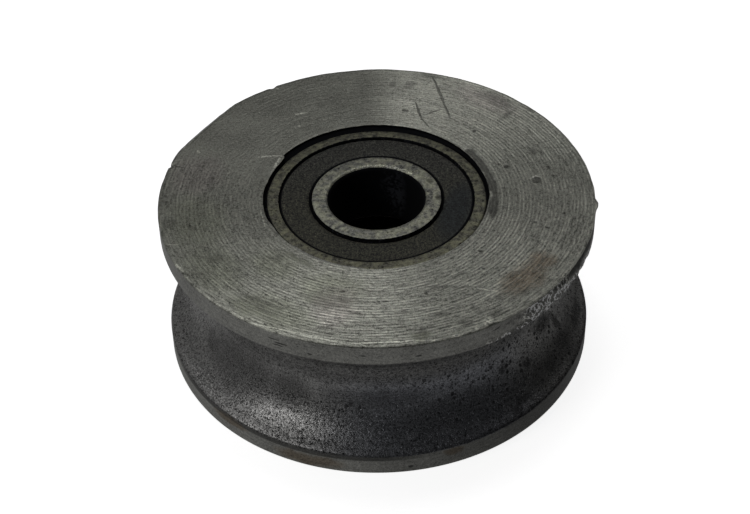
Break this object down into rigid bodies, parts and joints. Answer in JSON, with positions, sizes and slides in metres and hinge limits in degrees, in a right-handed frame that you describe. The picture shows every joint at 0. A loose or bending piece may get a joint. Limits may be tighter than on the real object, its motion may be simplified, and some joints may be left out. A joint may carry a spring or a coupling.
{
  "type": "round groove track wheel with ball bearings",
  "caption": "Worn steel track wheel with a round groove, turned faces and sealed ball bearings for an axle.",
  "frame": {"origin": "middle of the wheel, on the axle line", "axes": "+Z along the axle line, out of the face that shows the bearing; the wheel lies on its -Z face; +X and +Y across the wheel"},
  "size_m": [0.078, 0.078, 0.0306],
  "materials": {
    "worn_steel": "turned, worn and oily, with pits and rust stains",
    "outer_ring_steel": "ground, dull and soiled",
    "inner_ring_steel": "ground, handled",
    "seal_rubber": "matte black",
    "cage_steel": "pressed sheet",
    "ball_steel": "polished"
  },
  "bodies": {
    "axle_side": {"upper_inner_ring": "inner_ring_steel"},
    "wheel": {"wheel_body": "worn_steel", "upper_outer_ring": "outer_ring_steel", "upper_outside_seal": "seal_rubber", "upper_inside_seal": "seal_rubber", "lower_outer_ring": "outer_ring_steel", "lower_outside_seal": "seal_rubber", "lower_inside_seal": "seal_rubber"},
    "lower_ring": {"lower_inner_ring": "inner_ring_steel"},
    "upper_cage": {"upper_outside_cage_half": "cage_steel", "upper_inside_cage_half": "cage_steel", "upper_cage_rivets": "cage_steel"},
    "lower_cage": {"lower_outside_cage_half": "cage_steel", "lower_inside_cage_half": "cage_steel", "lower_cage_rivets": "cage_steel"},
    "upper_ball_1": {"upper_ball_1": "ball_steel"},
    "upper_ball_2": {"upper_ball_2": "ball_steel"},
    "upper_ball_3": {"upper_ball_3": "ball_steel"},
    "upper_ball_4": {"upper_ball_4": "ball_steel"},
    "upper_ball_5": {"upper_ball_5": "ball_steel"},
    "upper_ball_6": {"upper_ball_6": "ball_steel"},
    "upper_ball_7": {"upper_ball_7": "ball_steel"},
    "upper_ball_8": {"upper_ball_8": "ball_steel"},
    "lower_ball_1": {"lower_ball_1": "ball_steel"},
    "lower_ball_2": {"lower_ball_2": "ball_steel"},
    "lower_ball_3": {"lower_ball_3": "ball_steel"},
    "lower_ball_4": {"lower_ball_4": "ball_steel"},
    "lower_ball_5": {"lower_ball_5": "ball_steel"},
    "lower_ball_6": {"lower_ball_6": "ball_steel"},
    "lower_ball_7": {"lower_ball_7": "ball_steel"},
    "lower_ball_8": {"lower_ball_8": "ball_steel"}
  },
  "joints": [
    {"name": "wheel_spin", "type": "hinge", "parent": "axle_side", "child": "wheel", "pos_m": [0, 0, 0.00875], "axis": [0, 0, 1], "continuous": true},
    {"name": "lower_ring_spin", "type": "hinge", "parent": "wheel", "child": "lower_ring", "pos_m": [0, 0, -0.00875], "axis": [0, 0, 1], "continuous": true},
    {"name": "upper_cage_spin", "type": "hinge", "parent": "axle_side", "child": "upper_cage", "pos_m": [0, 0, 0.00875], "axis": [0, 0, 1], "continuous": true},
    {"name": "lower_cage_spin", "type": "hinge", "parent": "wheel", "child": "lower_cage", "pos_m": [0, 0, -0.00875], "axis": [0, 0, 1], "continuous": true},
    {"name": "upper_ball_1_spin", "type": "hinge", "parent": "upper_cage", "child": "upper_ball_1", "pos_m": [0.01425, 0, 0.00875], "axis": [0, 0, 1], "continuous": true},
    {"name": "upper_ball_2_spin", "type": "hinge", "parent": "upper_cage", "child": "upper_ball_2", "pos_m": [0.01008, 0.01008, 0.00875], "axis": [0, 0, 1], "continuous": true},
    {"name": "upper_ball_3_spin", "type": "hinge", "parent": "upper_cage", "child": "upper_ball_3", "pos_m": [0, 0.01425, 0.00875], "axis": [0, 0, 1], "continuous": true},
    {"name": "upper_ball_4_spin", "type": "hinge", "parent": "upper_cage", "child": "upper_ball_4", "pos_m": [-0.01008, 0.01008, 0.00875], "axis": [0, 0, 1], "continuous": true},
    {"name": "upper_ball_5_spin", "type": "hinge", "parent": "upper_cage", "child": "upper_ball_5", "pos_m": [-0.01425, 0, 0.00875], "axis": [0, 0, 1], "continuous": true},
    {"name": "upper_ball_6_spin", "type": "hinge", "parent": "upper_cage", "child": "upper_ball_6", "pos_m": [-0.01008, -0.01008, 0.00875], "axis": [0, 0, 1], "continuous": true},
    {"name": "upper_ball_7_spin", "type": "hinge", "parent": "upper_cage", "child": "upper_ball_7", "pos_m": [0, -0.01425, 0.00875], "axis": [0, 0, 1], "continuous": true},
    {"name": "upper_ball_8_spin", "type": "hinge", "parent": "upper_cage", "child": "upper_ball_8", "pos_m": [0.01008, -0.01008, 0.00875], "axis": [0, 0, 1], "continuous": true},
    {"name": "lower_ball_1_spin", "type": "hinge", "parent": "lower_cage", "child": "lower_ball_1", "pos_m": [0.01425, 0, -0.00875], "axis": [0, 0, 1], "continuous": true},
    {"name": "lower_ball_2_spin", "type": "hinge", "parent": "lower_cage", "child": "lower_ball_2", "pos_m": [0.01008, 0.01008, -0.00875], "axis": [0, 0, 1], "continuous": true},
    {"name": "lower_ball_3_spin", "type": "hinge", "parent": "lower_cage", "child": "lower_ball_3", "pos_m": [0, 0.01425, -0.00875], "axis": [0, 0, 1], "continuous": true},
    {"name": "lower_ball_4_spin", "type": "hinge", "parent": "lower_cage", "child": "lower_ball_4", "pos_m": [-0.01008, 0.01008, -0.00875], "axis": [0, 0, 1], "continuous": true},
    {"name": "lower_ball_5_spin", "type": "hinge", "parent": "lower_cage", "child": "lower_ball_5", "pos_m": [-0.01425, 0, -0.00875], "axis": [0, 0, 1], "continuous": true},
    {"name": "lower_ball_6_spin", "type": "hinge", "parent": "lower_cage", "child": "lower_ball_6", "pos_m": [-0.01008, -0.01008, -0.00875], "axis": [0, 0, 1], "continuous": true},
    {"name": "lower_ball_7_spin", "type": "hinge", "parent": "lower_cage", "child": "lower_ball_7", "pos_m": [0, -0.01425, -0.00875], "axis": [0, 0, 1], "continuous": true},
    {"name": "lower_ball_8_spin", "type": "hinge", "parent": "lower_cage", "child": "lower_ball_8", "pos_m": [0.01008, -0.01008, -0.00875], "axis": [0, 0, 1], "continuous": true}
  ],
  "couplings": [
    {"joint": "upper_cage_spin", "follows": "wheel_spin", "ratio": 0.61842},
    {"joint": "lower_cage_spin", "follows": "lower_ring_spin", "ratio": 0.38158},
    {"joint": "upper_ball_1_spin", "follows": "wheel_spin", "ratio": 1.9927},
    {"joint": "upper_ball_2_spin", "follows": "wheel_spin", "ratio": 1.9927},
    {"joint": "upper_ball_3_spin", "follows": "wheel_spin", "ratio": 1.9927},
    {"joint": "upper_ball_4_spin", "follows": "wheel_spin", "ratio": 1.9927},
    {"joint": "upper_ball_5_spin", "follows": "wheel_spin", "ratio": 1.9927},
    {"joint": "upper_ball_6_spin", "follows": "wheel_spin", "ratio": 1.9927},
    {"joint": "upper_ball_7_spin", "follows": "wheel_spin", "ratio": 1.9927},
    {"joint": "upper_ball_8_spin", "follows": "wheel_spin", "ratio": 1.9927},
    {"joint": "lower_ball_1_spin", "follows": "lower_ring_spin", "ratio": -1.9927},
    {"joint": "lower_ball_2_spin", "follows": "lower_ring_spin", "ratio": -1.9927},
    {"joint": "lower_ball_3_spin", "follows": "lower_ring_spin", "ratio": -1.9927},
    {"joint": "lower_ball_4_spin", "follows": "lower_ring_spin", "ratio": -1.9927},
    {"joint": "lower_ball_5_spin", "follows": "lower_ring_spin", "ratio": -1.9927},
    {"joint": "lower_ball_6_spin", "follows": "lower_ring_spin", "ratio": -1.9927},
    {"joint": "lower_ball_7_spin", "follows": "lower_ring_spin", "ratio": -1.9927},
    {"joint": "lower_ball_8_spin", "follows": "lower_ring_spin", "ratio": -1.9927}
  ]
}
